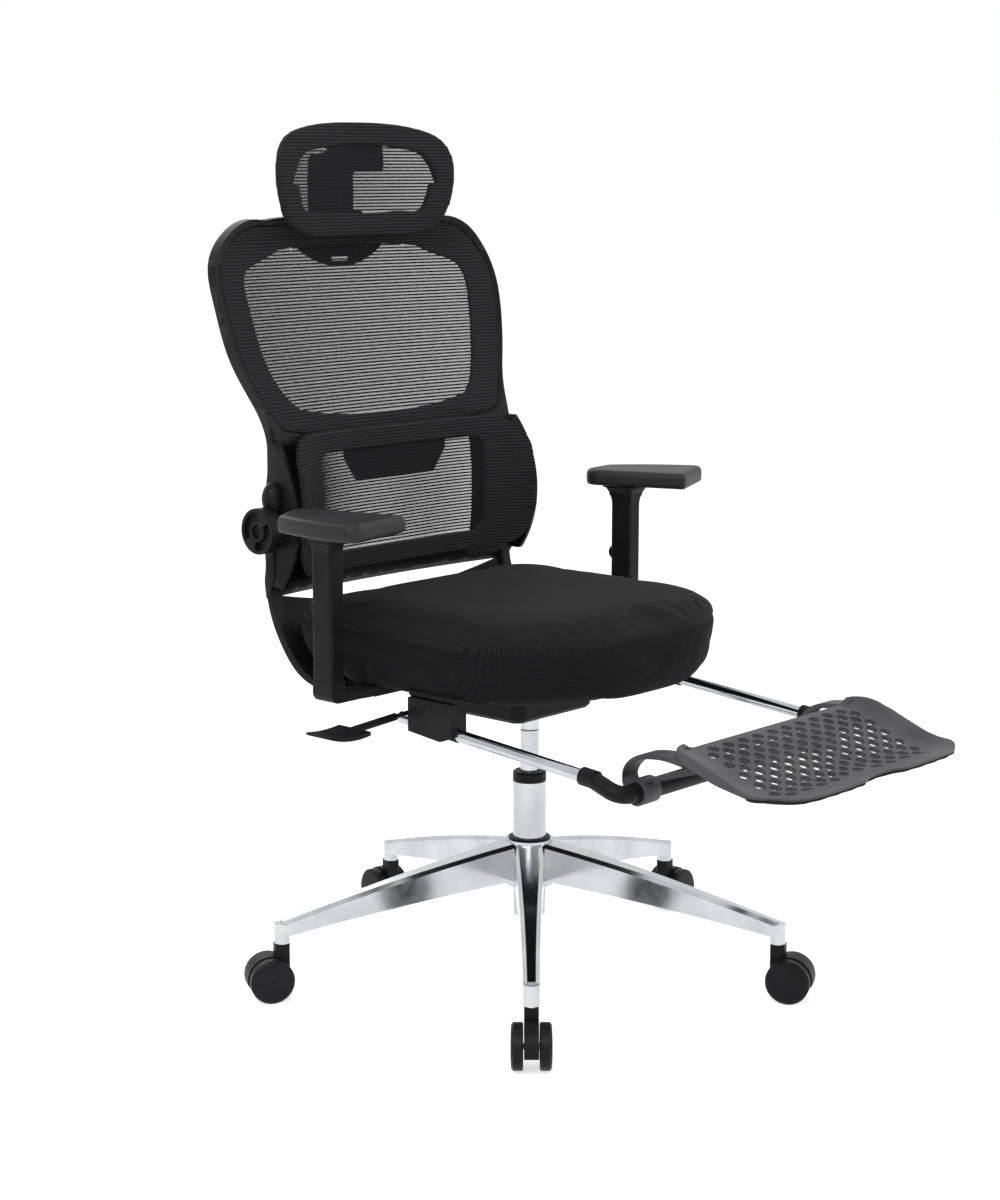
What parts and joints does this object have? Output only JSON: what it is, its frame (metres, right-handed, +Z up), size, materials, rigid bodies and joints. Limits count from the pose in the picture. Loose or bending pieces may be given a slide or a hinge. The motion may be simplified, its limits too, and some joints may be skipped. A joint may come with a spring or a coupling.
{
  "type": "reclining office chair",
  "caption": "Reclining office chair with mesh back, headrest, adjustable arms and a pull-out footrest on a castor base.",
  "frame": {"origin": "on the floor, in the middle of the chair's box seen from above", "axes": "+Z up, -Y the way the sitter faces, +X to the sitter's left"},
  "size_m": [0.8046, 0.9701, 1.163],
  "materials": {
    "chair_plastic": "satin",
    "mesh_fabric": "woven",
    "seat_fabric": "woven",
    "pad_rubber": "soft",
    "chromed_steel": "polished",
    "painted_steel": "satin",
    "bare_steel": "brushed",
    "shell_board": "matt",
    "soft_rubber": "matt",
    "caster_tread": "satin",
    "bearing_steel": "ground",
    "polished_alloy": "polished"
  },
  "bodies": {
    "base": {"base_star": "polished_alloy", "hub_ring": "chair_plastic", "lift_tube": "chromed_steel", "lift_guide_bush": "chair_plastic", "lift_bearing_set": "bearing_steel", "caster_stems": "bare_steel"},
    "swivel_rod": {"lift_rod": "bare_steel"},
    "seat": {"lift_cylinder": "chromed_steel", "tilt_housing": "painted_steel", "seat_pan": "shell_board", "seat_cushion": "seat_fabric", "seat_bolts": "bare_steel", "footrest_rail_right": "chair_plastic", "footrest_rail_left": "chair_plastic", "arm_bracket_right": "painted_steel", "arm_bracket_left": "painted_steel", "recline_shaft": "bare_steel", "recline_spring": "soft_rubber"},
    "release_pin": {"lift_pin": "bare_steel"},
    "lever": {"lever_rod": "bare_steel", "lever_handle": "chair_plastic"},
    "sleeve_right": {"arm_sleeve_right": "chair_plastic"},
    "sleeve_left": {"arm_sleeve_left": "chair_plastic"},
    "button_right": {"arm_button_right": "chair_plastic"},
    "button_left": {"arm_button_left": "chair_plastic"},
    "pad_right": {"arm_pad_right": "pad_rubber"},
    "pad_left": {"arm_pad_left": "pad_rubber"},
    "back": {"back_frame": "chair_plastic", "recline_bracket": "painted_steel", "upper_mesh_rim": "chair_plastic", "upper_mesh": "mesh_fabric", "headrest_socket": "chair_plastic"},
    "lumbar": {"lumbar_frame": "chair_plastic", "lumbar_mesh": "mesh_fabric", "lumbar_bar": "chair_plastic"},
    "knob": {"lumbar_knob": "chair_plastic"},
    "head_post": {"headrest_post": "chair_plastic"},
    "headrest": {"headrest_bracket": "chair_plastic", "headrest_frame": "chair_plastic", "headrest_mesh": "mesh_fabric"},
    "footrest_slide": {"footrest_tubes": "chromed_steel", "footrest_elbows": "chair_plastic", "footrest_crossbar": "chair_plastic"},
    "footrest_board": {"footrest_pad": "chair_plastic"},
    "caster_1": {"caster_1_fork": "chair_plastic", "caster_1_axle": "bare_steel"},
    "rollers_1": {"caster_1_wheels": "caster_tread"},
    "caster_2": {"caster_2_fork": "chair_plastic", "caster_2_axle": "bare_steel"},
    "rollers_2": {"caster_2_wheels": "caster_tread"},
    "caster_3": {"caster_3_fork": "chair_plastic", "caster_3_axle": "bare_steel"},
    "rollers_3": {"caster_3_wheels": "caster_tread"},
    "caster_4": {"caster_4_fork": "chair_plastic", "caster_4_axle": "bare_steel"},
    "rollers_4": {"caster_4_wheels": "caster_tread"},
    "caster_5": {"caster_5_fork": "chair_plastic", "caster_5_axle": "bare_steel"},
    "rollers_5": {"caster_5_wheels": "caster_tread"}
  },
  "joints": [
    {"name": "swivel", "type": "hinge", "parent": "base", "child": "swivel_rod", "pos_m": [0, 0.096, 0.2], "axis": [0, 0, 1], "continuous": true},
    {"name": "seat_height", "type": "slide", "parent": "swivel_rod", "child": "seat", "axis": [0, 0, 1], "range_m": [-0.07, 0.03]},
    {"name": "lever_lift", "type": "hinge", "parent": "seat", "child": "lever", "pos_m": [-0.078, 0.096, 0.419], "axis": [0, 1, 0], "range_deg": [0, 5], "stiffness_Nm_per_rad": 3, "springref_deg": -3.44},
    {"name": "pin_press", "type": "slide", "parent": "seat", "child": "release_pin", "axis": [0, 0, -1], "range_m": [0, 0.0069]},
    {"name": "arm_height_right", "type": "slide", "parent": "seat", "child": "sleeve_right", "axis": [0, 0, 1], "range_m": [0, 0.07]},
    {"name": "arm_button_press_right", "type": "slide", "parent": "sleeve_right", "child": "button_right", "axis": [0, -1, 0], "range_m": [0, 0.003], "stiffness_N_per_m": 400},
    {"name": "arm_pad_swivel_right", "type": "hinge", "parent": "sleeve_right", "child": "pad_right", "pos_m": [-0.3, 0.176, 0.6555], "axis": [0, 0, -1], "range_deg": [-30, 30]},
    {"name": "arm_height_left", "type": "slide", "parent": "seat", "child": "sleeve_left", "axis": [0, 0, 1], "range_m": [0, 0.07]},
    {"name": "arm_button_press_left", "type": "slide", "parent": "sleeve_left", "child": "button_left", "axis": [0, -1, 0], "range_m": [0, 0.003], "stiffness_N_per_m": 400},
    {"name": "arm_pad_swivel_left", "type": "hinge", "parent": "sleeve_left", "child": "pad_left", "pos_m": [0.3, 0.176, 0.6555], "axis": [0, 0, 1], "range_deg": [-36, 20]},
    {"name": "recline", "type": "hinge", "parent": "seat", "child": "back", "pos_m": [0, 0.196, 0.405], "axis": [-1, 0, 0], "range_deg": [0, 30]},
    {"name": "lumbar_forward", "type": "slide", "parent": "back", "child": "lumbar", "axis": [0, -1, 0], "range_m": [0, 0.012]},
    {"name": "knob_turn", "type": "hinge", "parent": "back", "child": "knob", "pos_m": [-0.268, 0.336, 0.625], "axis": [1, 0, 0], "range_deg": [-180, 180]},
    {"name": "headrest_height", "type": "slide", "parent": "back", "child": "head_post", "axis": [0, 0, 1], "range_m": [0, 0.03]},
    {"name": "headrest_tilt", "type": "hinge", "parent": "head_post", "child": "headrest", "pos_m": [0, 0.461, 1.11], "axis": [1, 0, 0], "range_deg": [-20, 6]},
    {"name": "footrest_retract", "type": "slide", "parent": "seat", "child": "footrest_slide", "axis": [0, 0.9968, 0.0793], "range_m": [0, 0.105]},
    {"name": "footrest_flip", "type": "hinge", "parent": "footrest_slide", "child": "footrest_board", "pos_m": [0, -0.253, 0.358], "axis": [1, 0, 0], "range_deg": [0, 100]},
    {"name": "caster_1_swivel", "type": "hinge", "parent": "base", "child": "caster_1", "pos_m": [0.34802, 0.13319, 0.06], "axis": [0, 0, 1], "continuous": true},
    {"name": "caster_1_roll", "type": "hinge", "parent": "caster_1", "child": "rollers_1", "pos_m": [0.36592, 0.13511, 0.03], "axis": [-0.1063, 0.9943, 0], "continuous": true},
    {"name": "caster_2_swivel", "type": "hinge", "parent": "base", "child": "caster_2", "pos_m": [0.07217, 0.43848, 0.06], "axis": [0, 0, 1], "continuous": true},
    {"name": "caster_2_roll", "type": "hinge", "parent": "caster_2", "child": "rollers_2", "pos_m": [0.07588, 0.45609, 0.03], "axis": [-0.9785, 0.2062, 0], "continuous": true},
    {"name": "caster_3_swivel", "type": "hinge", "parent": "base", "child": "caster_3", "pos_m": [-0.30341, 0.27047, 0.06], "axis": [0, 0, 1], "continuous": true},
    {"name": "caster_3_roll", "type": "hinge", "parent": "caster_3", "child": "rollers_3", "pos_m": [-0.31902, 0.27944, 0.03], "axis": [-0.4985, -0.8669, 0], "continuous": true},
    {"name": "caster_4_swivel", "type": "hinge", "parent": "base", "child": "caster_4", "pos_m": [-0.25969, -0.13865, 0.06], "axis": [0, 0, 1], "continuous": true},
    {"name": "caster_4_roll", "type": "hinge", "parent": "caster_4", "child": "rollers_4", "pos_m": [-0.27305, -0.15072, 0.03], "axis": [0.6704, -0.742, 0], "continuous": true},
    {"name": "caster_5_swivel", "type": "hinge", "parent": "base", "child": "caster_5", "pos_m": [0.14292, -0.22349, 0.06], "axis": [0, 0, 1], "continuous": true},
    {"name": "caster_5_roll", "type": "hinge", "parent": "caster_5", "child": "rollers_5", "pos_m": [0.15027, -0.23992, 0.03], "axis": [0.9128, 0.4083, 0], "continuous": true}
  ],
  "couplings": [
    {"joint": "pin_press", "follows": "lever_lift", "m_per_rad": 0.07891},
    {"joint": "knob_turn", "follows": "lumbar_forward", "rad_per_m": 247.25}
  ]
}
